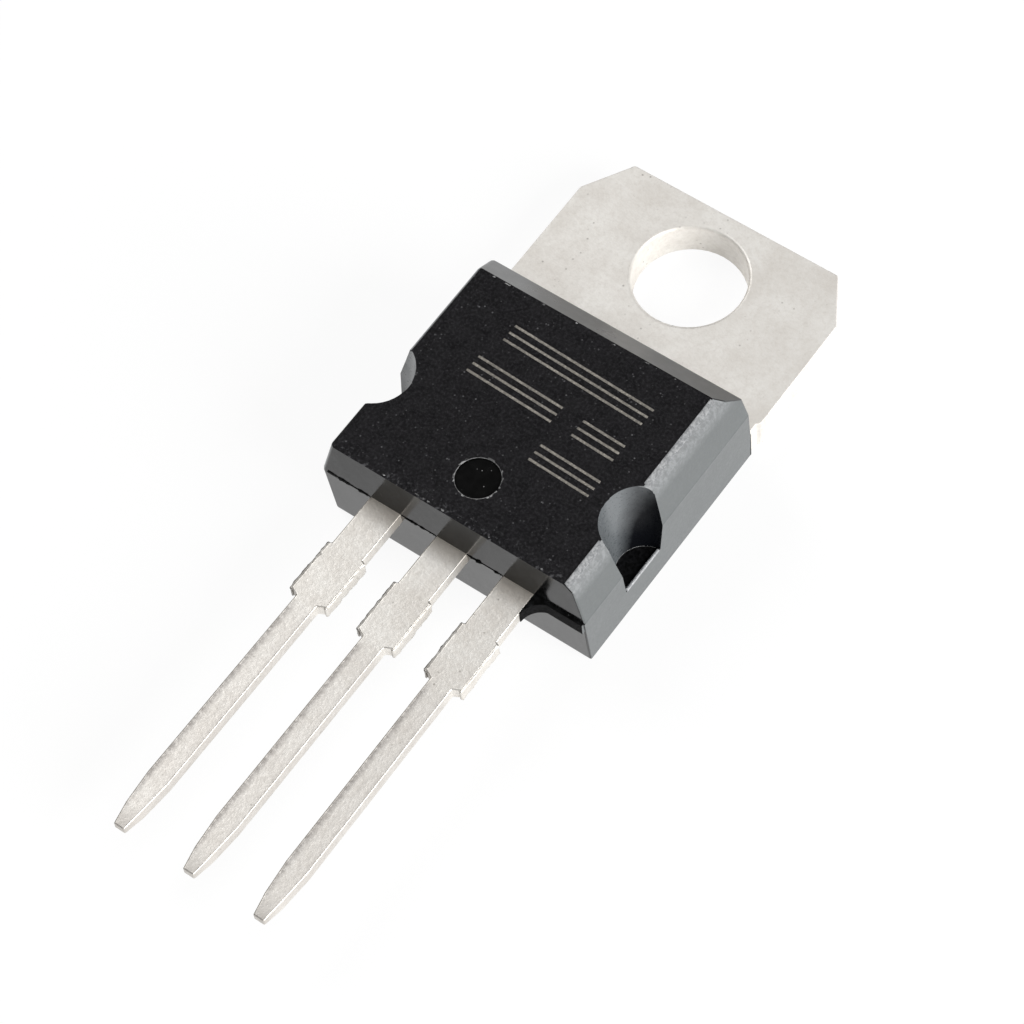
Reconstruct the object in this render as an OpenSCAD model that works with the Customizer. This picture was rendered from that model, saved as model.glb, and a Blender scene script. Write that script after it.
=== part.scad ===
// Three-lead voltage regulator in a flat tab package, lying on the back of its tab.
// Origin: centre of the mounting hole on the back plane. +Z comes out of the marked
// face, +Y points to the free end of the tab and the leads run towards -Y.

/* [Tab] */
// Width of the tab
tab_w = 10.1; // [9.4:0.05:10.6]
// Thickness of the tab
tab_t = 1.27; // [1:0.01:1.5]
// Hole centre to the free end of the tab
tab_top = 2.66; // [2.5:0.02:3.2]
// Length of the tab in front of the body
tab_free = 6.56; // [6:0.02:7.6]
// Diameter of the mounting hole
hole_d = 3.84; // [3:0.02:4.4]
// Roll-over round the hole's front rim, left by the punch
hole_rim = 0.12; // [0.04:0.01:0.2]
// Corner cut of the tab, along its end
corner_x = 1.05; // [0.4:0.05:2]
// Corner cut of the tab, along its side
corner_y = 1.7; // [0.4:0.05:2.4]
// Depth of the small neck where the tab enters the body
neck_in = 0.12; // [0.05:0.01:0.2]
// Length of that neck in front of the body
neck_l = 0.4; // [0.2:0.05:0.8]

/* [Body] */
// Length of the body at the parting plane
body_l = 9.1; // [8.4:0.05:10.4]
// Thickness of the body, back plane to marked face
body_t = 4.4; // [4.1:0.05:5]
// Side taper of the front half, each side
side_taper = 0.46; // [0.3:0.01:0.6]
// Side taper of the back half, each side
back_taper = 0.05; // [0.02:0.01:0.1]
// End taper of the front half over the leads
lead_end_taper = 0.04; // [0.02:0.01:0.3]
// End taper of the back half under the leads
back_end_taper = 0.2; // [0.05:0.01:0.3]
// Step in the lead end at the parting plane, where the front half is set back
parting_step = 0.02; // [0.01:0.01:0.1]
// Sideways mismatch of the front half, towards the output lead
half_shift = 0.05; // [0:0.01:0.08]
// End taper of the wall that stands on the tab
tab_end_taper = 0.2; // [0.1:0.01:0.4]
// Bevel along the tab end of the marked face, along the face
bevel_l = 0.93; // [0.5:0.01:1.4]
// The same bevel, measured down the wall
bevel_h = 0.9; // [0.5:0.02:1.2]
// Worn chamfer on the right long edge of the marked face
edge_break = 0.26; // [0.1:0.01:0.4]
// Round pocket in each side: diameter at the marked face
notch_d = 2.6; // [1.8:0.05:3.2]
// The same pocket: diameter at its floor
notch_floor_d = 1.84; // [1.2:0.02:2.2]
// Lead end of the body to the middle of the pocket
notch_y = 3.1; // [2.4:0.05:4]
// Height of the pocket's floor over the tab's front face
notch_step = 0.08; // [0.02:0.01:0.3]
// Lip round the outer edge of the pocket's floor
notch_lip = 0.07; // [0.03:0.01:0.1]
// Ejector pin mark: diameter
ejector_d = 1.5; // [1:0.05:2]
// Ejector pin mark: depth
ejector_deep = 0.06; // [0.02:0.01:0.15]
// Lead end of the body to the middle of the ejector mark
ejector_y = 1.65; // [1.2:0.05:2]
// Resin web left beside the output lead: length along the lead
web_l = 0.78; // [0.3:0.02:0.9]
// Flash ledge from that web to the corner: how far it stands out
ledge_out = 0.08; // [0.04:0.01:0.16]

/* [Leads] */
// Distance between leads
lead_pitch = 2.54; // [2.3:0.01:2.8]
// Thickness of the leads
lead_t = 0.5; // [0.38:0.01:0.6]
// Underside of the leads above the back plane
lead_z = 2.15; // [1.9:0.05:2.6]
// Length of the leads outside the body
lead_l = 13.2; // [11:0.1:16]
// Outward lean of a side lead, measured at its tip
lead_lean = 0.1; // [0:0.01:0.2]
// Width of the shoulder next to the body
shoulder_w = 1.2; // [1:0.02:1.5]
// Length of the plain shoulder
shoulder_l = 1.95; // [1.4:0.05:2.4]
// Width over the sheared tie bar stubs
stub_w = 1.38; // [1.24:0.02:1.7]
// Length of the sheared tie bar stubs
stub_l = 2; // [1.5:0.05:2.4]
// Width of the slim part of a lead
lead_w = 0.8; // [0.7:0.02:0.96]
// Length of the tapered tip
tip_l = 1.9; // [1:0.05:2.4]
// Width where the steeper point of the tip starts
point_w = 0.62; // [0.54:0.02:0.68]
// Length of that point
point_l = 0.75; // [0.4:0.05:0.9]
// Width at the end of the tip
tip_w = 0.4; // [0.25:0.01:0.5]
// Thickness lost to the tip's swage, on each face
tip_swage = 0.09; // [0.03:0.01:0.12]

/* [Inside] */
// Width of the die pad where it shows on the back
pad_w = 8; // [7:0.05:8.2]
// Extra width of the die pad's buried locking edge, each side
pad_lock = 0.25; // [0.1:0.01:0.3]
// Strip of resin between the bare pad and the lead end, on the back
back_strip = 1.3; // [1.1:0.05:1.5]
// Centre lead to die pad: width of the cranked neck
crank_w = 1.5; // [1.1:0.05:1.8]
// Wire post on a side lead: width
post_w = 1.8; // [1.5:0.05:2.1]
// Wire post on a side lead: length
post_l = 1.35; // [1:0.05:1.6]
// Locking hole in a wire post
post_hole_d = 0.45; // [0.3:0.01:0.55]
// Depth of the side leads inside the body
post_in = 2.2; // [1.9:0.05:2.6]
// Silicon die: side along X
die_x = 2.2; // [1.8:0.05:2.6]
// Silicon die: side along Y
die_y = 2; // [1.6:0.05:2.4]
// Silicon die: thickness
die_t = 0.28; // [0.2:0.01:0.35]
// Lead end of the body to the middle of the die
die_from_end = 5.2; // [4.6:0.05:5.6]
// Thickness of the solder under the die
solder_t = 0.05; // [0.03:0.01:0.1]
// Solder showing round the die
solder_rim = 0.12; // [0.05:0.01:0.2]
// Diameter of the input and output bond wires
wire_d = 0.25; // [0.18:0.01:0.32]
// Diameter of the ground bond wire
ground_wire_d = 0.18; // [0.12:0.01:0.25]
// Rise of a bond wire's loop over its chord
loop_rise = 0.6; // [0.45:0.01:0.75]

/* [Hidden] */
$fn = 64;
// Overshoot of a cutting shape past the face it opens
over = 1;
// Overlap by which shapes that form one piece run into each other
lap = 0.1;

// The body is as wide as the tab
body_w = tab_w;

// Body planes along Y
tab_end_y = tab_top - tab_free;
lead_end_y = tab_end_y - body_l;
tip_y = lead_end_y - lead_l;
lead_top = lead_z + lead_t;
bevel_z = body_t - bevel_h;

// Die pad: its bare back stops short of the lead end
pad_end_y = lead_end_y + back_end_taper + back_strip;
lock_z = tab_t / 2;
neck_w = tab_w - 2 * neck_in;
// The wide tab reaches a little way into the body to lock there
wing_in = 0.35;

// Bond wires run from the top of the die to the posts and to the pad
die_mid_y = lead_end_y + die_from_end;
die_top = tab_t + solder_t + die_t;
bond_inset = 0.35;
post_mid_y = lead_end_y + post_in - post_l / 2;
bond_pad_x = die_x / 2 - bond_inset;
bond_pad_y = die_mid_y - die_y / 2 + bond_inset;
ground_reach = 1.3;
wire_tail = 0.3;

// Resin between the wide crank and the end wall
crank_cover = 0.3;

// Outline of a part that is the same on both sides of the Y axis
function both_sides(half) = concat(half, [for (i = [len(half) - 1:-1:0]) [-half[i].x, half[i].y]]);

// A flat shape drawn in Y and Z, carried along X and centred
module along_x(width) {
    translate([-width / 2, 0, 0])
        rotate([90, 0, 90])
            linear_extrude(width) children();
}

// A flat shape drawn in X and Z, carried from the lead end to past the tab end
module along_y(from_y, length) {
    translate([0, from_y + length, 0])
        rotate([90, 0, 0])
            linear_extrude(length) children();
}

// Side view of the body: both halves taper away from the parting plane, level with the
// front faces of the leads
module body_side_view() {
    front_end_y = lead_end_y + parting_step;
    polygon([
        [lead_end_y + back_end_taper, 0],
        [tab_end_y, 0],
        [tab_end_y, tab_t],
        [tab_end_y - tab_end_taper, bevel_z],
        [tab_end_y - tab_end_taper - bevel_l, body_t],
        [front_end_y + lead_end_taper, body_t],
        [front_end_y, lead_top],
        [lead_end_y, lead_top]
    ]);
}

// End view of the body, with the worn chamfer on its right long edge
module body_end_view() {
    half = body_w / 2;
    front_half = half - half_shift;
    face = half - side_taper;
    lean = (side_taper - half_shift) / (body_t - lead_top);
    polygon([
        [-half + back_taper, 0],
        [half - back_taper, 0],
        [half, lead_top],
        [face + half_shift + edge_break * lean, body_t - edge_break],
        [face + half_shift - edge_break, body_t],
        [-face + half_shift, body_t],
        [-front_half + half_shift, lead_top],
        [-half, lead_top]
    ]);
}

// Round side pocket, narrower towards its floor, with a small lip left at the wall
module side_pocket(side) {
    floor_z = tab_t + notch_step;
    deep = body_t - floor_z;
    spread = (notch_d - notch_floor_d) / 2 / deep;
    translate([side * body_w / 2, lead_end_y + notch_y, floor_z]) {
        difference() {
            cylinder(h = deep + over, d1 = notch_floor_d, d2 = notch_d + 2 * spread * over);
            translate([side * (notch_lip / 2 - back_taper), 0, 0])
                cube([notch_lip, 2 * notch_d, 2 * notch_lip], center = true);
        }
    }
}

// Shallow round mark of the ejector pin in the marked face
module ejector_mark() {
    translate([0, lead_end_y + ejector_y, body_t - ejector_deep])
        cylinder(h = ejector_deep + over, d = ejector_d);
}

// Resin web in the corner between the output lead and the end wall, with a hollow edge, and
// the flash ledge that runs on from it to the corner. Both are as thick as the lead. The web
// starts inside the lead, whose own shape then cuts it off flush.
module resin_web() {
    web_x = lead_pitch + shoulder_w / 2 + web_l;
    web_in = shoulder_w / 4;
    hollow_r = web_l - ledge_out / 2;
    translate([web_x, lead_end_y - web_l, lead_z])
        difference() {
            translate([-web_l - web_in, 0, 0])
                cube([web_l + web_in, web_l + lap, lead_t]);
            translate([0, 0, -over])
                cylinder(h = lead_t + 2 * over, r = hollow_r);
        }
    translate([web_x - web_l, lead_end_y - ledge_out, lead_z])
        cube([body_w / 2 - lap / 2 - web_x + web_l, ledge_out + lap, lead_t]);
}

// Plan of the tab and of the die pad that runs on inside the body
module tab_plan(inner_w) {
    neck_y = tab_end_y + neck_l;
    wing_y = tab_end_y - wing_in;
    polygon(both_sides([
        [tab_w / 2 - corner_x, tab_top],
        [tab_w / 2, tab_top - corner_y],
        [tab_w / 2, neck_y + neck_in],
        [neck_w / 2, neck_y],
        [neck_w / 2, wing_y],
        [inner_w / 2, wing_y],
        [inner_w / 2, pad_end_y]
    ]));
}

// Side view of the crank that lifts the centre lead off the die pad
module crank_side_view() {
    foot_y = pad_end_y;
    head_y = lead_end_y + post_in / 2;
    end_y = lead_end_y + crank_cover;
    polygon([
        [foot_y + tab_t, tab_t - lead_t],
        [foot_y + tab_t, tab_t],
        [foot_y + lead_t, tab_t],
        [head_y + lead_t / 2, lead_top],
        [end_y, lead_top],
        [end_y, lead_z],
        [head_y - lead_t / 3, lead_z],
        [foot_y, tab_t - lead_t]
    ]);
}

// Plan of a lead outside the body: shoulder, sheared tie bar stubs, slim part and tip.
// Outside the body each point moves sideways in step with its distance from the end wall.
module lead_plan(inside, lean) {
    stub_y = lead_end_y - shoulder_l;
    slim_y = stub_y - stub_l;
    lead_corner = (stub_w - lead_w) / 8;
    outline = both_sides([
        [shoulder_w / 2, lead_end_y + inside],
        [shoulder_w / 2, stub_y],
        [stub_w / 2, stub_y - (stub_w - shoulder_w) / 4],
        [stub_w / 2, slim_y + lead_corner],
        [lead_w / 2, slim_y - lead_corner],
        [lead_w / 2, tip_y + tip_l],
        [point_w / 2, tip_y + point_l],
        [tip_w / 2, tip_y]
    ]);
    polygon([for (p = outline) [p.x + lean * max(0, lead_end_y - p.y) / lead_l, p.y]]);
}

// Side view of a lead, thinned at its tip
module lead_side_view(inside) {
    polygon([
        [lead_end_y + inside, lead_z],
        [lead_end_y + inside, lead_top],
        [tip_y + point_l, lead_top],
        [tip_y, lead_top - tip_swage],
        [tip_y, lead_z + tip_swage],
        [tip_y + point_l, lead_z]
    ]);
}

// A lead's straight length at X = 0, reaching the given distance into the body
module lead_blade(inside, lean) {
    intersection() {
        translate([0, 0, lead_z])
            linear_extrude(lead_t) lead_plan(inside, lean);
        along_x(2 * stub_w) lead_side_view(inside);
    }
}

// A side lead leans outwards a little; a wire post with a locking hole is its inner end
module side_lead(side) {
    post_y = lead_end_y + post_in - post_l;
    translate([side * lead_pitch, 0, 0]) {
        lead_blade(post_in - post_l + lap, side * lead_lean);
        difference() {
            translate([-post_w / 2, post_y, lead_z])
                cube([post_w, post_l, lead_t]);
            translate([side * post_w / 4, post_mid_y, lead_z - over])
                cylinder(h = lead_t + 2 * over, d = post_hole_d);
        }
    }
}

// Punched hole: a straight wall that turns outwards to the front face in a quarter round
module tab_hole() {
    translate([0, 0, -over])
        cylinder(h = tab_t + 2 * over, d = hole_d);
    rotate_extrude()
        difference() {
            translate([hole_d / 2 - lap, tab_t - hole_rim])
                square([hole_rim + lap, hole_rim + over]);
            translate([hole_d / 2 + hole_rim, tab_t - hole_rim])
                circle(r = hole_rim);
        }
}

module heatsink_tab() {
    color("gainsboro") {
        difference() {
            union() {
                linear_extrude(lock_z) tab_plan(pad_w);
                translate([0, 0, lock_z])
                    linear_extrude(tab_t - lock_z) tab_plan(pad_w + 2 * pad_lock);
            }
            tab_hole();
        }
        along_x(crank_w) crank_side_view();
        lead_blade(crank_cover + lap, 0);
    }
}

module input_lead() {
    color("gainsboro") side_lead(-1);
}

module output_lead() {
    color("gainsboro") side_lead(1);
}

module die_attach_solder() {
    color("slategray")
        translate([-die_x / 2 - solder_rim, die_mid_y - die_y / 2 - solder_rim, tab_t])
            cube([die_x + 2 * solder_rim, die_y + 2 * solder_rim, solder_t]);
}

module silicon_die() {
    color("darkslategray")
        translate([-die_x / 2, die_mid_y - die_y / 2, tab_t + solder_t])
            cube([die_x, die_y, die_t]);
}

// Round wire bent to one arc between two bonds, with its ends cut flush on their faces
module bond_wire(from, to, wire) {
    flat = norm([to.x - from.x, to.y - from.y]);
    chord = norm(to - from);
    slope = atan2(to.z - from.z, flat);
    radius = (chord * chord / 4 + loop_rise * loop_rise) / (2 * loop_rise);
    half_angle = asin(chord / 2 / radius);
    tail_angle = wire_tail / radius * 180 / PI;
    difference() {
        translate(from)
            rotate([0, 0, atan2(to.y - from.y, to.x - from.x)])
                rotate([90, 0, 0])
                    rotate([0, 0, slope])
                        translate([chord / 2, loop_rise - radius, 0])
                            rotate([0, 0, 90 - half_angle - tail_angle])
                                rotate_extrude(angle = 2 * (half_angle + tail_angle))
                                    translate([radius, 0]) circle(d = wire);
        for (bond = [from, to])
            translate([bond.x - over, bond.y - over, bond.z - over])
                cube([2 * over, 2 * over, over]);
    }
}

module input_bond_wire() {
    color("silver")
        bond_wire([-bond_pad_x, bond_pad_y, die_top],
                  [-lead_pitch + post_w / 5, post_mid_y, lead_top], wire_d);
}

module output_bond_wire() {
    color("silver")
        bond_wire([bond_pad_x, bond_pad_y, die_top],
                  [lead_pitch - post_w / 5, post_mid_y, lead_top], wire_d);
}

module ground_bond_wire() {
    color("silver")
        bond_wire([0, bond_pad_y, die_top],
                  [0, die_mid_y - die_y / 2 - ground_reach, tab_t], ground_wire_d);
}

// The moulded body closes on every piece inside it, so it is cut by their own shapes
module mould_body() {
    color("#26272a")
        difference() {
            union() {
                intersection() {
                    along_x(2 * body_w) body_side_view();
                    along_y(lead_end_y - over, body_l + 2 * over) body_end_view();
                }
                resin_web();
            }
            side_pocket(-1);
            side_pocket(1);
            ejector_mark();
            heatsink_tab();
            input_lead();
            output_lead();
            silicon_die();
            die_attach_solder();
            input_bond_wire();
            output_bond_wire();
            ground_bond_wire();
        }
}

mould_body();
heatsink_tab();
input_lead();
output_lead();
silicon_die();
die_attach_solder();
input_bond_wire();
output_bond_wire();
ground_bond_wire();
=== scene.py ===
"""Looks of a three-lead voltage regulator that lies on the back of its tab.

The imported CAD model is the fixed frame. The moulded body, the tab and the side leads are
dressed copies of their CAD nodes; worn, broken and sheared surfaces are separate pieces that
numpy works out. Lengths are in metres, and names that end in _MM are in millimetres.
"""

import math

import bmesh
import bpy
import numpy as np
from mathutils import Matrix, Vector


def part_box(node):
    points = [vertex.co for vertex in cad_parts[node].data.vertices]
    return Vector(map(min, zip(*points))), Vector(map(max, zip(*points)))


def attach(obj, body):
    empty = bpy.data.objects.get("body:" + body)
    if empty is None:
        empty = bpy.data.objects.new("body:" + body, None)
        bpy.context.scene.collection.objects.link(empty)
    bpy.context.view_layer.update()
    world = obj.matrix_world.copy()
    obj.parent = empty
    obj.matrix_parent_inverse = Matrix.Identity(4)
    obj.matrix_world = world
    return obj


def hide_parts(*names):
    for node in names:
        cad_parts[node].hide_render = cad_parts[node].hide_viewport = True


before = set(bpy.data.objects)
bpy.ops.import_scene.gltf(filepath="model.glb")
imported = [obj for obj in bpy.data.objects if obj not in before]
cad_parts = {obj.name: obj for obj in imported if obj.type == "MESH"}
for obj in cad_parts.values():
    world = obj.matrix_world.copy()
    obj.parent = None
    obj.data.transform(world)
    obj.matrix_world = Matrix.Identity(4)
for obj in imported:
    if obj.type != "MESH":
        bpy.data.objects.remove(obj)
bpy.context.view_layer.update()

MM = 0.001

# Planes of the object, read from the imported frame
BODY_LOW, BODY_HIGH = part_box("mould_body")
LEAD_LOW, LEAD_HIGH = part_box("output_lead")
FACE_Z = BODY_HIGH.z
LEAD_TOP_Z = LEAD_HIGH.z
LEAD_UNDER_Z = LEAD_LOW.z

# The same planes and other places on the object, in millimetres
FACE_Z_MM = FACE_Z / MM
LEAD_TOP_MM = LEAD_TOP_Z / MM
LEAD_UNDER_MM = LEAD_UNDER_Z / MM
TIP_Y_MM = LEAD_LOW.y / MM
HALF_W_MM = BODY_HIGH.x / MM
WALL_Y_MM = -13.0
FRONT_EDGE_Y_MM = -12.91
TAB_EDGE_Y_MM = -5.03
POCKET_Y_MM = -9.9
POCKET_FLOOR_Z_MM = 1.35
POCKET_FLOOR_R_MM = 0.92
POCKET_LIP_MM = 0.07
EJECTOR_AT_MM = (0, -11.35, FACE_Z_MM)
EJECTOR_R_MM = 0.75
LEFT_STEP_MM = 0.1
LEFT_FACE_X_MM = -4.54
CHAMFER_FACE_X_MM = 4.38
CHAMFER_WALL_MM = (4.70, 4.14)
LEAD_PITCH_MM = 2.54
LEAD_LEAN_MM = 0.1
LEAD_OUT_MM = 13.2
STUB_HALF_MM = 0.69
STUB_SPAN_MM = (-14.98, -16.95)
HOLE_ZONE_MM = 2.2

# How far in from the body's walls its outer skin reaches; the cavities lie deeper
SKIN_SIDE_MM = 1.8
SKIN_TAB_END_MM = 1.4
SKIN_LEAD_END_MM = 0.9
SKIN_FACE_MM = 0.2
SKIN_BACK_MM = 0.01

# Corners that stand nearer than this are one corner
SAME_CORNER_MM = 0.0005
SAME_FOOT_MM = 0.03

# Faces that turn less than the first angle are one face, and edges sharper than the second
# are rounded. Faces at least as large as the area are flat ones, and are shaded flat.
ONE_FACE_ANGLE = math.radians(0.5)
SHARP_ANGLE = math.radians(25)
FLAT_AREA = 1.5 * MM * MM
ROUNDING_STEPS = 3

# Places in the lists of finishes of the body and of the metal
MARKED_FACE, LEAD_END, EJECTOR_PRINT, SIDE_WALL, POCKET_WALL, SHEARED_WEB, TAB_END = range(7)
LEAD_TIN, TAB_TIN = range(2)

# Brightness of the white floor and its share over the lit one; light from the room
FLOOR_WHITE = 1.03
FLOOR_SHARE = 0.88
ROOM_LIGHT = 0.16

# Camera of the photograph, fitted to points of the object in the 1024 pixel frame
PHOTO_PX = 1024
FOCAL_PX = 3607.137
CAMERA_AZIMUTH = 42.236
CAMERA_ELEVATION = 59.718
CAMERA_ROLL = -7.534
CAMERA_DISTANCE = 114.762 * MM
CAMERA_TARGET = Vector((-0.158, -9.844, 0)) * MM
SENSOR_MM = 36


def add_camera():
    """A camera on a sphere round the target, rolled about its own axis."""
    az, el, roll = (math.radians(a) for a in (CAMERA_AZIMUTH, CAMERA_ELEVATION, CAMERA_ROLL))
    back = Vector((math.sin(az) * math.cos(el), -math.cos(az) * math.cos(el), math.sin(el)))
    right = (-back).cross(Vector((0, 0, 1))).normalized()
    up = right.cross(-back)
    turned_right = math.cos(roll) * right + math.sin(roll) * up
    turned_up = math.cos(roll) * up - math.sin(roll) * right
    data = bpy.data.cameras.new("photo_camera")
    data.sensor_width = SENSOR_MM
    data.lens = FOCAL_PX / PHOTO_PX * SENSOR_MM
    data.clip_start = 5 * MM
    data.clip_end = 20
    camera = bpy.data.objects.new("photo_camera", data)
    axes = Matrix((turned_right, turned_up, back)).transposed().to_4x4()
    camera.matrix_world = Matrix.Translation(CAMERA_TARGET + CAMERA_DISTANCE * back) @ axes
    bpy.context.scene.collection.objects.link(camera)
    bpy.context.scene.camera = camera


def add_softbox(name, azimuth, elevation, distance, size, watts):
    """A square lamp aimed at the middle of the object from a compass angle and a height."""
    az, el = math.radians(azimuth), math.radians(elevation)
    way = Vector((math.sin(az) * math.cos(el), -math.cos(az) * math.cos(el), math.sin(el)))
    data = bpy.data.lights.new(name, "AREA")
    data.size = size
    data.energy = watts
    lamp = bpy.data.objects.new(name, data)
    lamp.location = CAMERA_TARGET + way * distance
    lamp.rotation_euler = way.to_track_quat("Z", "Y").to_euler()
    bpy.context.scene.collection.objects.link(lamp)


class Finish:
    """A node material that is built up one texture at a time, in millimetres of the object."""

    def __init__(self, name):
        self.material = bpy.data.materials.new(name)
        self.material.use_nodes = True
        self.nodes = self.material.node_tree.nodes
        self.links = self.material.node_tree.links
        self.shader = self.nodes["Principled BSDF"]
        place = self.nodes.new("ShaderNodeTexCoord")
        to_mm = self.nodes.new("ShaderNodeMapping")
        to_mm.inputs["Scale"].default_value = (1 / MM, 1 / MM, 1 / MM)
        self.links.new(place.outputs["Object"], to_mm.inputs["Vector"])
        self.facing = place.outputs["Normal"]
        self.place = to_mm.outputs["Vector"]

    def stretched(self, x, y, z):
        """The place with each axis scaled, for a pattern that is drawn out along one."""
        node = self.nodes.new("ShaderNodeMapping")
        node.inputs["Scale"].default_value = (x, y, z)
        self.links.new(self.place, node.inputs["Vector"])
        return node.outputs["Vector"]

    def noise(self, per_mm, detail=2.0, rough=0.5, place=None):
        """Cloudy noise from 0 to 1 with so many features per millimetre."""
        node = self.nodes.new("ShaderNodeTexNoise")
        node.inputs["Scale"].default_value = per_mm
        node.inputs["Detail"].default_value = detail
        node.inputs["Roughness"].default_value = rough
        self.links.new(place or self.place, node.inputs["Vector"])
        return node.outputs["Fac"]

    def cells(self, per_mm):
        """Distance to the nearest of scattered points, for grains and pits."""
        node = self.nodes.new("ShaderNodeTexVoronoi")
        node.inputs["Scale"].default_value = per_mm
        self.links.new(self.place, node.inputs["Vector"])
        return node.outputs["Distance"]

    def span(self, value, low, high, to_low=0.0, to_high=1.0):
        """A value carried from one range to another and held at its ends."""
        node = self.nodes.new("ShaderNodeMapRange")
        for socket, number in zip(node.inputs[1:5], (low, high, to_low, to_high)):
            socket.default_value = number
        self.links.new(value, node.inputs["Value"])
        return node.outputs["Result"]

    def axis(self, vector, name):
        """One component of a vector."""
        node = self.nodes.new("ShaderNodeSeparateXYZ")
        self.links.new(vector, node.inputs["Vector"])
        return node.outputs[name]

    def joined(self, how, values):
        """Values joined two by two with one kind of arithmetic."""
        total = values[0]
        for value in values[1:]:
            node = self.nodes.new("ShaderNodeMath")
            node.operation = how
            for socket, part in zip(node.inputs, (total, value)):
                if isinstance(part, (int, float)):
                    socket.default_value = part
                else:
                    self.links.new(part, socket)
            total = node.outputs["Value"]
        return total

    def sum(self, *values):
        """Values added up."""
        return self.joined("ADD", values)

    def product(self, *values):
        """Values multiplied."""
        return self.joined("MULTIPLY", values)

    def repeated(self, value, length):
        """What is left of a value over whole lengths, for a pattern that repeats."""
        return self.joined("FLOORED_MODULO", (value, length))

    def blend(self, amount, first, second):
        """Two colours mixed by an amount; each is a linear colour or another blend."""
        node = self.nodes.new("ShaderNodeMix")
        node.data_type = "RGBA"
        self.links.new(amount, node.inputs["Factor"])
        for socket, colour in ((node.inputs[6], first), (node.inputs[7], second)):
            if isinstance(colour, tuple):
                socket.default_value = (*colour, 1)
            else:
                self.links.new(colour, socket)
        return node.outputs[2]

    def relief(self, height, depth_mm):
        """Bumps of a depth in millimetres."""
        node = self.nodes.new("ShaderNodeBump")
        node.inputs["Distance"].default_value = depth_mm * MM
        self.links.new(height, node.inputs["Height"])
        return node.outputs["Normal"]

    def set(self, **sockets):
        """Numbers, colours or links put on the shader's own sockets."""
        for name, value in sockets.items():
            socket = self.shader.inputs[name.replace("_", " ")]
            if isinstance(value, tuple):
                socket.default_value = (*value, 1)
            elif isinstance(value, (int, float)):
                socket.default_value = value
            else:
                self.links.new(value, socket)
        return self.material


def marked_face_resin():
    """Spark-eroded black resin: a fine matt grain, cloudy, with pale filler specks."""
    f = Finish("marked_face_resin")
    grain = f.noise(10, 4, 0.75)
    cloud = f.noise(2.4, 4, 0.65)
    patch = f.span(f.noise(3, 2), 0.50, 0.66)
    speck = f.product(f.span(f.cells(6), 0.22, 0.08), patch)
    base = f.blend(f.span(cloud, 0.35, 0.65), (0.0035, 0.0033, 0.0040), (0.0105, 0.0100, 0.0112))
    base = f.blend(f.span(grain, 0.45, 0.75), base, (0.034, 0.033, 0.036))
    near_leads = f.span(f.axis(f.place, "Y"), WALL_Y_MM + 0.6, WALL_Y_MM + 0.05)
    scuff = f.product(f.span(f.noise(7, 3, 0.7), 0.56, 0.66), near_leads)
    base = f.blend(scuff, base, (0.09, 0.09, 0.095))
    return f.set(
        Base_Color=f.blend(f.product(speck, 0.5), base, (0.24, 0.24, 0.25)),
        Roughness=f.span(grain, 0.3, 0.7, 0.60, 0.80),
        Specular_IOR_Level=0.10,
        Normal=f.relief(grain, 0.030),
    )


def end_wall_resin(name, front_level, back_level, lean, density=1.5, haze=0.09, depth_mm=0.012):
    """Resin off a polished mould wall: a black mirror with a faint flow pattern and specks.

    The levels say how strongly the front and the back half mirror, the lean how much more
    they do at the right end, the density how far both do, the haze how blurred the mirror is
    and the depth how wavy."""
    f = Finish(name)
    flow = f.noise(0.9, 3, 0.5, f.stretched(1, 1, 0.4))
    grain = f.noise(9, 4, 0.7)
    patch = f.span(f.noise(2, 2), 0.48, 0.62)
    speck = f.product(f.span(f.cells(5), 0.16, 0.06), patch)
    front = f.span(f.axis(f.place, "Z"), LEAD_TOP_MM - 0.02, LEAD_TOP_MM + 0.02)
    base = f.blend(flow, (0.002, 0.002, 0.002), (0.005, 0.005, 0.005))
    base = f.blend(f.span(f.noise(2.5, 4, 0.7), 0.45, 0.70), base, (0.022, 0.023, 0.024))
    half_end = 4.5
    sideways = f.span(f.axis(f.place, "X"), -half_end, half_end, 1 - lean, 1 + lean)
    mirror = f.product(f.span(front, 0, 1, back_level, front_level), sideways)
    return f.set(
        Base_Color=f.blend(f.product(speck, 0.4), base, (0.20, 0.20, 0.20)),
        Roughness=f.span(flow, 0.3, 0.7, haze, haze + 0.07),
        Specular_IOR_Level=mirror,
        IOR=density,
        Normal=f.relief(f.sum(flow, f.product(grain, 0.14)), depth_mm),
    )


def side_wall_resin():
    """Greyer side wall; it gets paler and speckled towards the rubbed long edge, and its front half
    is painted paler as painted light.
    """
    f = Finish("side_wall_resin")
    flow = f.noise(0.8, 4, 0.6)
    grain = f.noise(10, 4, 0.75)
    chip = f.span(f.noise(7, 4, 0.75), 0.44, 0.60)
    wall = f.blend(flow, (0.060, 0.068, 0.070), (0.086, 0.095, 0.098))
    wall = f.blend(f.span(grain, 0.45, 0.75, 0, 0.5), wall, (0.15, 0.16, 0.16))
    rubbed = f.blend(chip, (0.18, 0.188, 0.192), (0.27, 0.28, 0.285))
    height = f.axis(f.place, "Z")
    # Painted light: the front half, above the parting line, is painted paler so that its shading
    # matches the back half's.
    front_half_painted_light = f.span(height, LEAD_TOP_MM - 0.1, LEAD_TOP_MM + 0.1, 0, 0.42)
    wall = f.blend(front_half_painted_light, wall, (0.15, 0.16, 0.16))
    ragged_height = f.sum(height, f.product(grain, 0.3))
    worn = f.span(ragged_height, FACE_Z_MM - 0.55, FACE_Z_MM + 0.05)
    return f.set(
        Base_Color=f.blend(worn, wall, rubbed),
        Roughness=f.span(worn, 0, 1, 0.30, 0.55),
        Specular_IOR_Level=0.7,
        Normal=f.relief(f.sum(flow, f.product(grain, 0.2)), 0.012),
    )


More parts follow.
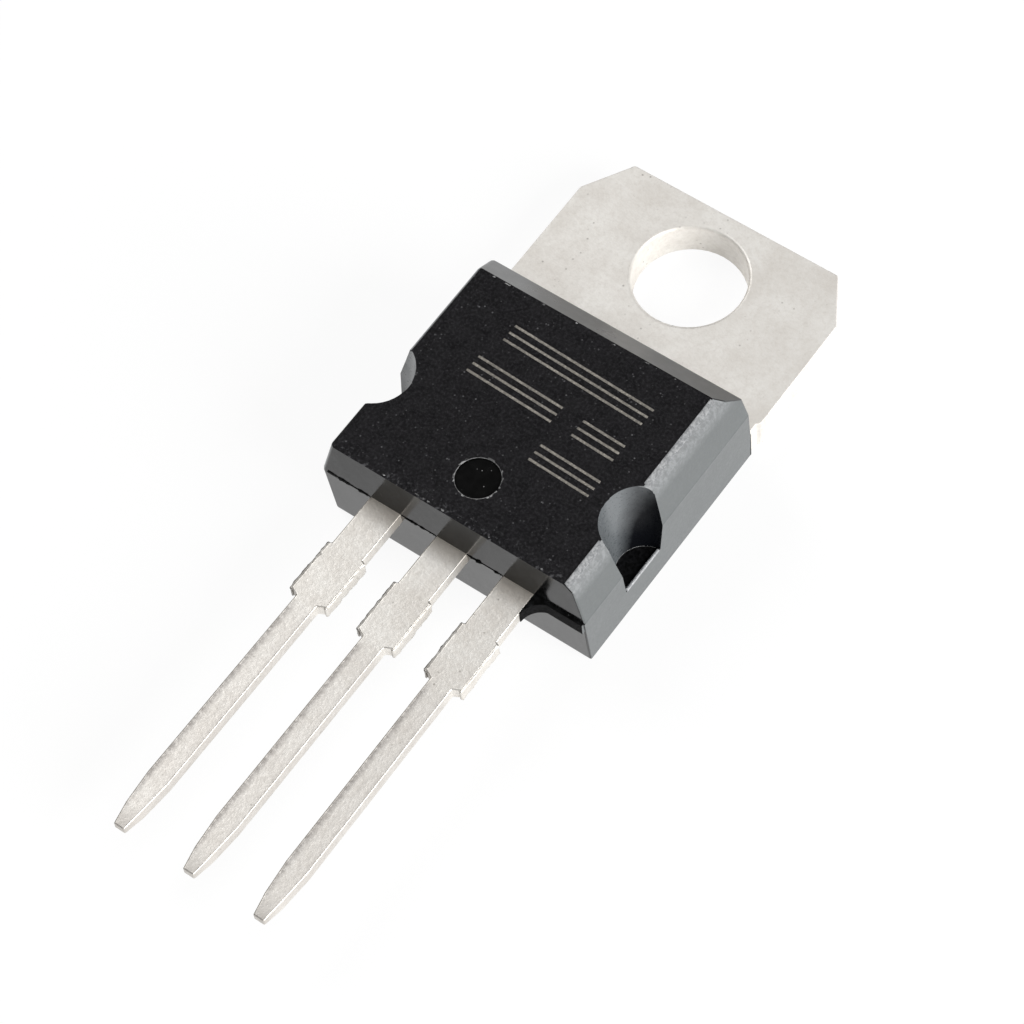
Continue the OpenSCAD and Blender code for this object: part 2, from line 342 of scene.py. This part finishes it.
def pocket_resin():
    """The pockets' walls: scuffed and pale, with painted shade on the right pocket's side that looks
    at the leads: there the wall is painted black and mirrors less."""
    f = Finish("pocket_resin")
    flow = f.noise(1.5, 3)
    grain = f.noise(9, 3, 0.7)
    uneven_height = f.sum(f.product(flow, 0.25), f.product(f.axis(f.place, "Z"), 0.22))
    painted_shade_side = f.span(f.sum(f.axis(f.facing, "Y"), uneven_height), 0.62, -0.02)
    # Painted shade: the right pocket's wall that looks back at the leads is painted black and
    # mirrors less; smooth carries this painted shade.
    smooth = f.product(painted_shade_side, f.span(f.axis(f.place, "X"), 0, 1))
    scuffed = f.blend(grain, (0.085, 0.094, 0.100), (0.150, 0.162, 0.170))
    return f.set(
        Base_Color=f.blend(smooth, scuffed, (0.004, 0.0045, 0.006)),
        Roughness=f.span(grain, 0.3, 0.7, 0.24, 0.36),
        Specular_IOR_Level=f.span(smooth, 0, 1, 0.8, 0.1),
        Normal=f.relief(f.sum(flow, f.product(grain, 0.2)), 0.010),
    )


def ejector_resin():
    """The pin's end is polished, so its print is glossy black with a few pale specks."""
    f = Finish("ejector_resin")
    speck = f.product(f.span(f.cells(4.5), 0.11, 0.05), 0.6)
    ripple = f.noise(5, 2)
    return f.set(
        Base_Color=f.blend(speck, (0.003, 0.003, 0.003), (0.45, 0.45, 0.45)),
        Roughness=f.span(ripple, 0.3, 0.7, 0.16, 0.26),
        Specular_IOR_Level=0.10,
        Normal=f.relief(ripple, 0.003),
    )


def chipped_resin(name, dark, pale, low=0.42, high=0.62, gloss=0.3):
    """Torn or rubbed resin: coarse, dry, and pale where the filler is laid open. It is dark
    under the low level of its noise and pale over the high one."""
    f = Finish(name)
    chip = f.noise(8, 4, 0.7)
    fine = f.noise(24, 2)
    return f.set(
        Base_Color=f.blend(f.span(chip, low, high), dark, pale),
        Roughness=f.span(fine, 0.3, 0.7, 0.55, 0.8),
        Specular_IOR_Level=gloss,
        Normal=f.relief(f.sum(chip, f.product(fine, 0.3)), 0.03),
    )


def etched_resin():
    """Laser-etched strokes: a foamed pale trace made of small overlapping dots."""
    f = Finish("etched_resin")
    dots = f.cells(14)
    cloud = f.noise(3, 3)
    tone = f.blend(f.span(dots, 0.15, 0.6), (0.42, 0.39, 0.34), (0.22, 0.205, 0.18))
    return f.set(
        Base_Color=f.blend(f.span(cloud, 0.35, 0.75, 0, 0.6), tone, (0.10, 0.095, 0.085)),
        Roughness=f.span(dots, 0.1, 0.6, 0.65, 0.85),
        Normal=f.relief(dots, 0.010),
    )


def slim_and_rim_shade(f, along):
    """Where a lead is slim, and how near a point is to its left or right rim, for painted shade
    along the rims. The side leads' lean is taken out first, and the leads' axes are one pitch apart."""
    x = f.axis(f.place, "X")
    lean = f.product(f.sum(along, -WALL_Y_MM), LEAD_LEAN_MM / LEAD_OUT_MM / LEAD_PITCH_MM)
    upright = f.sum(x, f.product(x, lean))
    axis_at = LEAD_PITCH_MM / 2
    place = f.repeated(f.sum(upright, axis_at), LEAD_PITCH_MM)
    left = f.span(place, axis_at - 0.12, axis_at - 0.35, 0, 0.85)
    right = f.span(place, axis_at + 0.24, axis_at + 0.36, 0, 0.2)
    slim = f.span(along, STUB_SPAN_MM[1] - 0.2, STUB_SPAN_MM[1] - 0.6)
    return slim, f.sum(left, right)


def tin_plating(name="tin_plating", tint=1.0, rough=0.44, metal=0.9):
    """Matt tin: warm pale grey, mottled, with small dark pits. It is browner close to the end wall
    and darker at the lead tips. It has painted shade along the slim leads' rims, and painted shade
    on the sheared left edges, broken into streaks like shear marks."""
    f = Finish(name)

    def shade(*colour):
        return tuple(tint * c for c in colour)

    along = f.axis(f.place, "Y")
    slim, rim = slim_and_rim_shade(f, along)
    cloud = f.noise(0.7, 4, 0.6)
    mottle = f.noise(6, 4, 0.7)
    pit = f.span(f.cells(2.6), 0.13, 0.04)
    pit = f.product(pit, f.span(f.noise(1.3, 2), 0.42, 0.60))
    pale, paler = shade(0.805, 0.77, 0.72), shade(0.905, 0.88, 0.835)
    colour = f.blend(f.span(cloud, 0.35, 0.65), pale, paler)
    colour = f.blend(f.span(mottle, 0.42, 0.72, 0, 0.38), colour, shade(0.60, 0.56, 0.51))
    near_wall = f.span(along, WALL_Y_MM - 0.7, WALL_Y_MM, 0, 0.45)
    near_wall = f.product(near_wall, f.span(along, WALL_Y_MM + 1, WALL_Y_MM + 0.5))
    colour = f.blend(near_wall, colour, shade(0.80, 0.71, 0.60))
    near_tip = f.span(along, TIP_Y_MM + 0.7, TIP_Y_MM, 0, 0.5)
    colour = f.blend(near_tip, colour, shade(0.36, 0.34, 0.31))
    # Painted shade along the slim leads' rounded rims: strong at the left rim, faint at the right.
    rim = f.product(slim, rim, f.span(mottle, 0.35, 0.60, 0.5, 1))
    colour = f.blend(f.product(slim, 0.3), colour, shade(0.74, 0.70, 0.66))
    colour = f.blend(rim, colour, shade(0.22, 0.20, 0.19))
    streak = f.noise(6, 3, 0.6, f.stretched(1, 1, 0.15))
    # Painted shade on the faces that look left, outside the body, broken into streaks like shear
    # marks; sheared carries this painted shade.
    painted_shade_left = f.span(f.axis(f.facing, "X"), -0.06, -0.5)
    outside = f.span(along, WALL_Y_MM + 1, WALL_Y_MM - 1)
    sheared = f.product(painted_shade_left, outside, f.span(streak, 0.35, 0.65, 0.5, 1))
    colour = f.blend(sheared, colour, shade(0.30, 0.28, 0.25))
    colour = f.blend(f.product(pit, 0.6), colour, shade(0.22, 0.20, 0.17))
    return f.set(
        Base_Color=colour,
        Metallic=metal,
        Roughness=f.span(mottle, 0.3, 0.7, rough, rough + 0.12),
        Normal=f.relief(f.sum(mottle, f.product(streak, 0.5)), 0.007),
    )


def polished_silicon():
    """The chip: smooth dark grey with a faint wafer-saw haze."""
    f = Finish("polished_silicon")
    haze = f.noise(2, 2)
    return f.set(
        Base_Color=f.blend(haze, (0.08, 0.09, 0.11), (0.13, 0.14, 0.16)),
        Roughness=f.span(haze, 0.3, 0.7, 0.12, 0.22),
        Metallic=0.4,
        Normal=f.relief(f.noise(12), 0.002),
    )


def dull_solder():
    """Frosted grey solder."""
    f = Finish("dull_solder")
    frost = f.noise(9, 3)
    return f.set(
        Base_Color=f.blend(frost, (0.38, 0.39, 0.41), (0.50, 0.51, 0.53)),
        Roughness=f.span(frost, 0.3, 0.7, 0.45, 0.65),
        Metallic=0.9,
        Normal=f.relief(frost, 0.01),
    )


def drawn_wire():
    """Bright aluminium wire with fine drawing marks."""
    f = Finish("drawn_wire")
    marks = f.noise(14, 2)
    return f.set(
        Base_Color=f.blend(marks, (0.74, 0.74, 0.75), (0.84, 0.84, 0.85)),
        Roughness=f.span(marks, 0.3, 0.7, 0.25, 0.38),
        Metallic=1.0,
        Normal=f.relief(marks, 0.003),
    )


def floor_finish():
    """White table: seen or mirrored it is near white, and its lit share keeps the shadow."""
    material = bpy.data.materials.new("white_table")
    material.use_nodes = True
    nodes, links = material.node_tree.nodes, material.node_tree.links
    nodes.clear()
    out = nodes.new("ShaderNodeOutputMaterial")
    lit = nodes.new("ShaderNodeBsdfDiffuse")
    lit.inputs["Color"].default_value = (0.92, 0.92, 0.92, 1)
    white = nodes.new("ShaderNodeEmission")
    white.inputs["Strength"].default_value = FLOOR_WHITE
    path = nodes.new("ShaderNodeLightPath")
    seen = nodes.new("ShaderNodeMath")
    seen.operation = "MAXIMUM"
    links.new(path.outputs["Is Camera Ray"], seen.inputs[0])
    links.new(path.outputs["Is Glossy Ray"], seen.inputs[1])
    share = nodes.new("ShaderNodeMath")
    share.operation = "MULTIPLY"
    share.inputs[1].default_value = FLOOR_SHARE
    links.new(seen.outputs["Value"], share.inputs[0])
    mix = nodes.new("ShaderNodeMixShader")
    links.new(share.outputs["Value"], mix.inputs["Fac"])
    links.new(lit.outputs["BSDF"], mix.inputs[1])
    links.new(white.outputs["Emission"], mix.inputs[2])
    links.new(mix.outputs["Shader"], out.inputs["Surface"])
    return material


def add_stage():
    """A wide pale floor just under the object, and a pale world."""
    reach = 3.0
    gap = 0.01 * MM
    mesh = bpy.data.meshes.new("table")
    corners = [(x * reach, y * reach, -gap) for x, y in ((-1, -1), (1, -1), (1, 1), (-1, 1))]
    mesh.from_pydata(corners, [], [(0, 1, 2, 3)])
    mesh.materials.append(floor_finish())
    table = bpy.data.objects.new("table", mesh)
    bpy.context.scene.collection.objects.link(table)
    world = bpy.data.worlds.new("pale_room")
    world.use_nodes = True
    bpy.context.scene.world = world
    nodes, links = world.node_tree.nodes, world.node_tree.links
    background = nodes["Background"]
    background.inputs["Color"].default_value = (1, 1, 1, 1)
    path = nodes.new("ShaderNodeLightPath")
    level = nodes.new("ShaderNodeMapRange")
    level.inputs["To Min"].default_value = ROOM_LIGHT
    level.inputs["To Max"].default_value = 1.0
    links.new(path.outputs["Is Camera Ray"], level.inputs["Value"])
    links.new(level.outputs["Result"], background.inputs["Strength"])


def dressed_copy(node, name, materials, pick, bevel_mm, weigh):
    """A merged copy of a CAD node that stands for it, with its edges rounded.

    pick gives each face's material from its centre and normal, and weigh gives each edge's
    share of the bevel from its middle and its two normals, or None to leave it alone. An
    edge with no share stays sharp."""
    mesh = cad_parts[node].data.copy()
    mesh.name = name
    if "custom_normal" in mesh.attributes:
        mesh.attributes.remove(mesh.attributes["custom_normal"])
    mesh.materials.clear()
    for finish in materials:
        mesh.materials.append(finish)
    if node == "mould_body":
        close_left_step(mesh)
    shape = bmesh.new()
    shape.from_mesh(mesh)
    bmesh.ops.remove_doubles(shape, verts=shape.verts, dist=SAME_CORNER_MM * MM)
    at_foot = [v for v in shape.verts if at_left_foot(v.co)]
    bmesh.ops.remove_doubles(shape, verts=at_foot, dist=SAME_FOOT_MM * MM)
    bmesh.ops.dissolve_limit(shape, angle_limit=ONE_FACE_ANGLE, verts=shape.verts, edges=shape.edges)
    for face in shape.faces:
        face.material_index = pick(face.calc_center_median(), face.normal)
        face.smooth = face.calc_area() < FLAT_AREA
    weights = shape.edges.layers.float.new("bevel_weight_edge")
    for edge in shape.edges:
        if len(edge.link_faces) == 2 and edge.calc_face_angle() > SHARP_ANGLE:
            middle = (edge.verts[0].co + edge.verts[1].co) / 2
            normals = [face.normal.copy() for face in edge.link_faces]
            share = weigh(middle, normals)
            if share is not None:
                edge[weights] = share
                edge.smooth = share > 0
    shape.to_mesh(mesh)
    shape.free()
    piece = bpy.data.objects.new(name, mesh)
    bpy.context.scene.collection.objects.link(piece)
    rounding = piece.modifiers.new("rounded_edges", "BEVEL")
    rounding.width = bevel_mm * MM
    rounding.segments = ROUNDING_STEPS
    rounding.limit_method = "WEIGHT"
    rounding.use_clamp_overlap = False
    rounding.harden_normals = True
    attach(piece, "root")
    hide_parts(node)
    return piece


def close_left_step(mesh):
    """Lean the front half's left wall out by the width of the step at its foot, so that the
    rounding of the left edges runs past the parting plane: a point of the wall moves by the
    step, less the share of the wall's height that lies under it."""
    points = np.empty(3 * len(mesh.vertices))
    mesh.vertices.foreach_get("co", points)
    points = points.reshape(-1, 3) / MM
    rise = (points[:, 2] - LEAD_TOP_MM) / (FACE_Z_MM - LEAD_TOP_MM)
    foot_x = BODY_LOW.x / MM + LEFT_STEP_MM
    wall_x = foot_x + rise * (LEFT_FACE_X_MM - foot_x)
    on_wall = (rise > -0.001) & (np.abs(points[:, 0] - wall_x) < 0.003)
    points[on_wall, 0] -= LEFT_STEP_MM * (1 - rise[on_wall])
    mesh.vertices.foreach_set("co", (points * MM).ravel())
    mesh.update()


def at_left_foot(point):
    """Whether a point lies at the foot of the front half's left wall."""
    return point.x < BODY_LOW.x + 0.05 * MM and abs(point.z - LEAD_TOP_Z) < 0.001 * MM


def on_outer_skin(point):
    """Whether a point lies on the outside of the moulded body and not in its cavities."""
    side = abs(point.x) > BODY_HIGH.x - SKIN_SIDE_MM * MM
    tab_end = point.y > BODY_HIGH.y - SKIN_TAB_END_MM * MM
    lead_end = point.y < BODY_LOW.y + SKIN_LEAD_END_MM * MM
    face = point.z > FACE_Z - SKIN_FACE_MM * MM
    back = point.z < SKIN_BACK_MM * MM
    return side or tab_end or lead_end or face or back


def stays_sharp(middle, normals):
    """Whether an edge of the body stays sharp: those in the cavities and pockets, at the
    parting plane, round the leads, at the ejector print and at the marked face's ends."""
    if not on_outer_skin(middle) or abs(middle.z - LEAD_TOP_Z) < 0.05 * MM:
        return True
    by_print = abs(middle.x) < 1 * MM and BODY_LOW.y + 0.5 * MM < middle.y < POCKET_Y_MM * MM
    if by_print and middle.z > FACE_Z - SKIN_FACE_MM * MM:
        return True
    lead_level = LEAD_UNDER_Z - 0.05 * MM < middle.z < LEAD_TOP_Z
    if lead_level and middle.y < (WALL_Y_MM + 0.3) * MM:
        return True
    if all(abs(n.x) < 0.3 for n in normals) and middle.z > FACE_Z - 0.1 * MM:
        return True
    if abs(middle.y - POCKET_Y_MM * MM) < 1.4 * MM and abs(middle.x) < BODY_HIGH.x:
        at_rim = middle.z > FACE_Z - 0.3 * MM or middle.z < 1 * MM
        return not at_rim or all(abs(n.x) < 0.97 for n in normals)
    return False


def body_edge_share(middle, normals):
    """Rounding of the body's edges: most on the left side and little on the others."""
    if stays_sharp(middle, normals):
        return 0.0
    upright = all(abs(n.z) < 0.3 for n in normals)
    if middle.x < BODY_LOW.x + 0.6 * MM and any(n.x < -0.9 for n in normals):
        return 0.8 if upright else 0.5
    on_chamfer = middle.z > LEAD_TOP_Z and any(n.x > 0.4 and n.z > 0.4 for n in normals)
    return 0.3 if upright and not on_chamfer else 0.2


def metal_edge_share(middle, normals):
    """Rounding of the metal's edges: most where the punch went in, at the left of the leads;
    the hole's rim is round already."""
    if middle.xy.length < HOLE_ZONE_MM * MM:
        return None
    upper_left = any(n.x < -0.9 for n in normals) and any(n.z > 0.9 for n in normals)
    return 1.0 if upper_left else 0.6


def metal_finish(centre, normal):
    """The tab outside the body is duller than the leads and the buried parts."""
    return TAB_TIN if centre.y > BODY_HIGH.y - 1 * MM else LEAD_TIN


def body_face_finish(centre, normal):
    """The place of a body face's finish in the list, from where it lies and looks."""
    if normal.z > 0.98 and centre.z > FACE_Z - 0.02 * MM:
        return MARKED_FACE
    if normal.z > 0.98 and centre.z > FACE_Z - SKIN_FACE_MM * MM:
        return EJECTOR_PRINT
    inwards = BODY_HIGH.x - abs(centre.x)
    beside_pocket = abs(centre.y - POCKET_Y_MM * MM) < 1.35 * MM
    if beside_pocket and inwards < 1.6 * MM and 1 * MM < centre.z < FACE_Z - 0.05 * MM:
        if inwards > 0.7 * MM or abs(normal.x) < 0.9:
            return SHEARED_WEB if normal.z > 0.9 else POCKET_WALL
    if abs(normal.x) > 0.5 and inwards < 0.8 * MM:
        return SIDE_WALL
    if centre.y < WALL_Y_MM * MM - 0.01 * MM and normal.z < 0.5:
        return SHEARED_WEB
    return TAB_END if normal.y > 0.5 else LEAD_END


def uneven(u, v, cell, seed, octaves=3):
    """Heights from -1 to 1: random values on a lattice with easing between its points; each
    octave has half the cell and half the height of the one before."""
    total = np.zeros(np.broadcast(u, v).shape)
    weight, weights = 1.0, 0.0
    for octave in range(octaves):
        at_u, at_v = u / cell, v / cell
        row, column = np.floor(at_u).astype(int), np.floor(at_v).astype(int)
        size = (row.max() + 2, column.max() + 2)
        lattice = np.random.default_rng([seed, octave]).uniform(-1, 1, size)
        ease_u, ease_v = (t * t * (3 - 2 * t) for t in (at_u - row, at_v - column))
        near = lattice[row, column] * (1 - ease_u) + lattice[row + 1, column] * ease_u
        far = lattice[row, column + 1] * (1 - ease_u) + lattice[row + 1, column + 1] * ease_u
        total += weight * (near * (1 - ease_v) + far * ease_v)
        weights += weight
        weight, cell = weight / 2, cell / 2
    return total / weights


def closed_sheet(name, top, bottom, finish):
    """A closed skin: a top and a bottom grid of points with like rows and columns, and a row
    of faces that joins their rims. Points are in millimetres."""
    rows, columns = top.shape[:2]
    count = rows * columns
    grid = np.arange(count).reshape(rows, columns)
    faces = np.stack([grid[:-1, :-1], grid[1:, :-1], grid[1:, 1:], grid[:-1, 1:]], -1).reshape(-1, 4)
    rim = np.concatenate([grid[0, :-1], grid[:-1, -1], grid[-1, :0:-1], grid[:0:-1, 0]])
    onward = np.roll(rim, -1)
    skirt = np.stack([rim, onward, onward + count, rim + count], -1)
    faces = np.concatenate([faces, faces[:, ::-1] + count, skirt])
    mesh = bpy.data.meshes.new(name)
    points = np.concatenate([top.reshape(-1, 3), bottom.reshape(-1, 3)]) * MM
    mesh.from_pydata(points.tolist(), [], faces.tolist())
    shape = bmesh.new()
    shape.from_mesh(mesh)
    bmesh.ops.recalc_face_normals(shape, faces=shape.faces)
    for face in shape.faces:
        face.smooth = True
    shape.to_mesh(mesh)
    shape.free()
    mesh.materials.append(finish)
    piece = bpy.data.objects.new(name, mesh)
    bpy.context.scene.collection.objects.link(piece)
    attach(piece, "root")
    return piece


def ease(distance, reach):
    """0 at the rim and 1 from the given reach on, without a kink."""
    t = np.clip(distance / reach, 0, 1)
    return t * t * (3 - 2 * t)


def strip(name, path, across, outward, finish, slot, width, height, seed, cell, bare=0.0,
          relief=1.0, fade_ends=0.05, fade_sides=0.03, columns=9, sink=0.02):
    """A strip along a path: point (u, v) is path(u) + v across + h outward. h is the height
    times a field that is 1 less a random share, fades to the rims, and dips under the carrier
    over the bare share, so that only its peaks show. All lengths are in millimetres."""
    path = np.asarray(path, float)
    across, outward = (np.broadcast_to(np.asarray(a, float), path.shape) for a in (across, outward))
    run = np.concatenate([[0], np.cumsum(np.linalg.norm(np.diff(path, axis=0), axis=1))])
    v = np.linspace(0, width, columns)
    u_grid, v_grid = np.meshgrid(run, v, indexing="ij")
    field = 1 - relief * (0.5 - 0.5 * uneven(u_grid, v_grid, cell, seed))
    field = (field - bare) / (1 - bare)
    if fade_ends:
        field = field * ease(np.minimum(u_grid, run[-1] - u_grid), fade_ends)
    if fade_sides:
        field = field * ease(np.minimum(v_grid, width - v_grid), fade_sides)
    base = path[:, None, :] + v_grid[..., None] * across[:, None, :]
    top = base + (np.maximum(field, -0.5) * height)[..., None] * outward[:, None, :]
    bottom = base - (sink + 0 * field)[..., None] * outward[:, None, :]
    return closed_sheet(name, top, bottom, finish)


def line(start, end, step=0.03):
    """Evenly spaced points from start to end."""
    start, end = np.asarray(start, float), np.asarray(end, float)
    count = max(2, round(np.linalg.norm(end - start) / step) + 1)
    return start + np.linspace(0, 1, count)[:, None] * (end - start)


def arc(centre, radius, first, last, step=0.03):
    """Points on a level circle from one angle to another, and their directions from its axis."""
    count = max(3, round(abs(math.radians(last - first)) * radius / step) + 1)
    turn = np.radians(np.linspace(first, last, count))
    away = np.stack([np.cos(turn), np.sin(turn), 0 * turn], -1)
    return np.asarray(centre, float) + radius * away, away


def add_worn_edge(finish):
    """The rubbed upper rim of the right long edge, on both sides of the pocket: strips along
    the rim whose width runs down the chamfer and whose height stands square to it."""
    fall = np.array([CHAMFER_WALL_MM[0] - CHAMFER_FACE_X_MM, 0, CHAMFER_WALL_MM[1] - FACE_Z_MM])
    across = fall / np.linalg.norm(fall)
    outward = np.array([-across[2], 0, across[0]])
    rim = np.array([CHAMFER_FACE_X_MM, 0, FACE_Z_MM]) - 0.04 * across
    for index, (near, far) in enumerate(((-12.9, -11.1), (-8.7, -5.1))):
        start, end = (rim + (0, y, 0) for y in (near, far))
        strip(f"worn_edge_{index + 1}", line(start, end), across, outward, finish, "moulded_resin",
              width=0.22, height=0.03, seed=11 + index, cell=0.11, bare=0.3, columns=11,
              fade_ends=0.08, fade_sides=0.06)


def add_chips(finish):
    """Small chips along the face's edges over the leads and over the tab: a strip along each
    edge that is turned half way between the face and the end, and sunk into the resin."""
    slope = math.sqrt(0.5)
    edges = (("lead_end_chips", FRONT_EDGE_Y_MM, -1), ("tab_end_chips", TAB_EDGE_Y_MM, 1))
    for seed, (name, y, way) in enumerate(edges, 23):
        outward = np.array([0, way * slope, slope])
        across = np.array([0, way * slope, -slope])
        ends = (np.array([x, y, FACE_Z_MM]) - 0.05 * (across + outward) for x in (-4.4, 4.3))
        strip(name, line(*ends), across, outward, finish, "moulded_resin", width=0.1,
              height=0.085, seed=seed, cell=0.16, bare=0.58, columns=7, sink=0.03)


def add_parting_flash(finish):
    """Thin torn fins where the mould halves met, on the end wall between the leads: strips
    along the parting line whose width runs up and whose height stands out of the wall."""
    spans = {
        "flash_left": (-4.82, -3.2, 0.04, 0.40),
        "flash_between_1": (-1.9, -0.65, 0.035, 0.45),
        "flash_between_2": (0.65, 1.9, 0.035, 0.45),
        "flash_blob": (0.93, 1.15, 0.12, 0),
    }
    for seed, (name, (left, right, height, bare)) in enumerate(spans.items(), 31):
        start, end = ((x, WALL_Y_MM, LEAD_TOP_MM - 0.04) for x in (left, right))
        strip(name, line(start, end, 0.02), (0, 0, 1), (0, -1, 0), finish, "moulded_resin",
              width=0.04, height=height, seed=seed, cell=0.13, bare=bare, columns=4,
              fade_ends=0.06, fade_sides=0, sink=0.06)


def add_pocket_beads(finish, lip_finish):
    """A fine raised line where each pocket's wall meets its floor, and on the floor's lip: a
    strip along an arc, turned half way between wall and floor, and a straight level strip."""
    fine = {"cell": 0.3, "relief": 0.5, "columns": 5, "fade_sides": 0.02}
    for side, name in ((-1, "left"), (1, "right")):
        middle = 90 + 90 * side
        centre = (side * HALF_W_MM, POCKET_Y_MM, POCKET_FLOOR_Z_MM)
        path, away = arc(centre, POCKET_FLOOR_R_MM + 0.01, middle - 80, middle + 80)
        outward = (np.array([0, 0, 1]) - away) * math.sqrt(0.5)
        across = -(np.array([0, 0, 1]) + away) * math.sqrt(0.5)
        strip(f"{name}_pocket_bead", path - across * 0.02, across, outward, finish,
              "moulded_resin", width=0.04, height=0.025, seed=41, **fine)
        lip_x = side * (HALF_W_MM - 0.12)
        lip_z = POCKET_FLOOR_Z_MM + POCKET_LIP_MM
        ends = ((lip_x, POCKET_Y_MM + way * 0.88, lip_z) for way in (-1, 1))
        strip(f"{name}_pocket_lip", line(*ends), (side, 0, 0), (0, 0, 1), lip_finish,
              "moulded_resin", width=0.10, height=0.03, seed=42, sink=0.05, **fine)


def add_ejector_rim(finish):
    """A broken bright rim round the ejector pin's print: a level strip along a circle, whose
    width runs away from the pin's axis."""
    path, away = arc(EJECTOR_AT_MM, EJECTOR_R_MM - 0.02, 4, 356)
    strip("ejector_rim", path, away, (0, 0, 1), finish, "moulded_resin", width=0.06,
          height=0.02, seed=51, cell=0.12, bare=0.62, columns=6)


def add_marks(finish):
    """Plain etched bars that say nothing. Each is three level strips side by side, all turned
    by the same small angle."""
    stroke = 0.085
    spacing = 0.3
    tilt = math.radians(-2)
    along = np.array([math.cos(tilt), math.sin(tilt), 0])
    across = np.array([-math.sin(tilt), math.cos(tilt), 0])
    bars = ((-2.3, 3.1, -6.6), (-2.6, 0.7, -8.15), (1.5, 3.1, -8.15), (0.9, 3.2, -9.6))
    for bar, (left, right, y) in enumerate(bars, 1):
        for place in (-1, 0, 1):
            rim = (place * spacing - stroke / 2) * across
            start = np.array([0, y, FACE_Z_MM]) + left * along + rim
            path = line(start, start + (right - left) * along)
            strip(f"etched_bar_{bar}_{place + 2}", path, across, (0, 0, 1), finish,
                  "moulded_resin", width=stroke, height=0.006, seed=60 + 3 * bar + place,
                  cell=0.1, relief=0.3, columns=4, fade_sides=0, fade_ends=0.03, sink=0.01)


def add_sheared_stubs(left_finish, right_finish):
    """Torn metal on both sides of each lead where the tie bars were cut off, and the ragged burr
    that the shear left on the upper left edge: upright strips along the stubs whose height stands
    out sideways, and a level strip along each upper left edge. The left strips and the burr take the
    left finish, which is darkened as painted shade."""
    for lead, number in (("input", -1), ("ground", 0), ("output", 1)):
        for side, side_name in ((-1, "left"), (1, "right")):
            ends = []
            for y in STUB_SPAN_MM:
                lean = number * LEAD_LEAN_MM * (WALL_Y_MM - y) / LEAD_OUT_MM
                x = number * LEAD_PITCH_MM + lean + side * (STUB_HALF_MM - 0.005)
                ends.append((x, y, LEAD_UNDER_MM + 0.01))
            finish = left_finish if side < 0 else right_finish
            strip(f"{lead}_stub_{side_name}", line(*ends), (0, 0, 1), (side, 0, 0), finish,
                  "tinned_copper", width=0.475, height=0.07, seed=70 + 3 * number + side,
                  cell=0.17, columns=10, fade_ends=0.03, fade_sides=0, sink=0.05)
            if side < 0:
                up = LEAD_TOP_MM - LEAD_UNDER_MM - 0.03
                rim = (np.array(end) + (-0.02, 0, up) for end in ends)
                strip(f"{lead}_stub_burr", line(*rim), (1, 0, 0), (0, 0, 1), finish,
                      "tinned_copper", width=0.14, height=0.035, seed=90 + number, cell=0.2,
                      bare=0.35, columns=7, sink=0.05)


add_camera()
add_stage()
add_softbox("key_from_right", azimuth=88, elevation=24, distance=0.45, size=0.30, watts=2.7)
add_softbox("sheen_from_left", azimuth=258, elevation=43, distance=0.5, size=0.26, watts=1.22)

bpy.context.scene.view_settings.view_transform = "Standard"

tin = tin_plating()
tab_tin = tin_plating("tab_tin", metal=0.35)
body = dressed_copy(
    "mould_body", "moulded_body",
    [
        marked_face_resin(),
        end_wall_resin("lead_end_resin", front_level=0.28, back_level=0.40, lean=0.22),
        ejector_resin(),
        side_wall_resin(),
        pocket_resin(),
        chipped_resin("sheared_resin", (0.002, 0.002, 0.002), (0.009, 0.009, 0.010), gloss=0.06),
        end_wall_resin("tab_end_resin", front_level=0.95, back_level=0.95, lean=-0.2,
                       density=1.7, haze=0.26, depth_mm=0.005),
    ],
    body_face_finish, bevel_mm=0.25, weigh=body_edge_share,
)
for node in ("heatsink_tab", "input_lead", "output_lead"):
    plated = dressed_copy(node, "plated_" + node, [tin, tab_tin], metal_finish, bevel_mm=0.08,
                          weigh=metal_edge_share)

rubbed = chipped_resin("rubbed_resin", (0.20, 0.206, 0.212), (0.37, 0.375, 0.38))
torn = chipped_resin("torn_resin", (0.006, 0.006, 0.006), (0.03, 0.03, 0.03), low=0.50, high=0.75)
chipped = chipped_resin("chipped_resin", (0.10, 0.10, 0.10), (0.40, 0.40, 0.40))
add_worn_edge(rubbed)
add_chips(chipped)
add_parting_flash(torn)
add_pocket_beads(chipped, chipped_resin("lip_resin", (0.36, 0.37, 0.38), (0.58, 0.59, 0.60)))
add_ejector_rim(chipped)
add_marks(etched_resin())
# The left stubs and burrs get the tin darkened as painted shade; the right ones get it nearly at
# full brightness.
add_sheared_stubs(
    tin_plating("torn_tin_in_painted_shade", tint=0.55, rough=0.5),
    tin_plating("sheared_tin", tint=0.95, rough=0.5),
)

wire = drawn_wire()
inner_finishes = {
    "silicon_die": polished_silicon(),
    "die_attach_solder": dull_solder(),
    "input_bond_wire": wire,
    "output_bond_wire": wire,
    "ground_bond_wire": wire,
}
for node, finish in inner_finishes.items():
    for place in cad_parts[node].material_slots:
        place.link = "OBJECT"
        place.material = finish
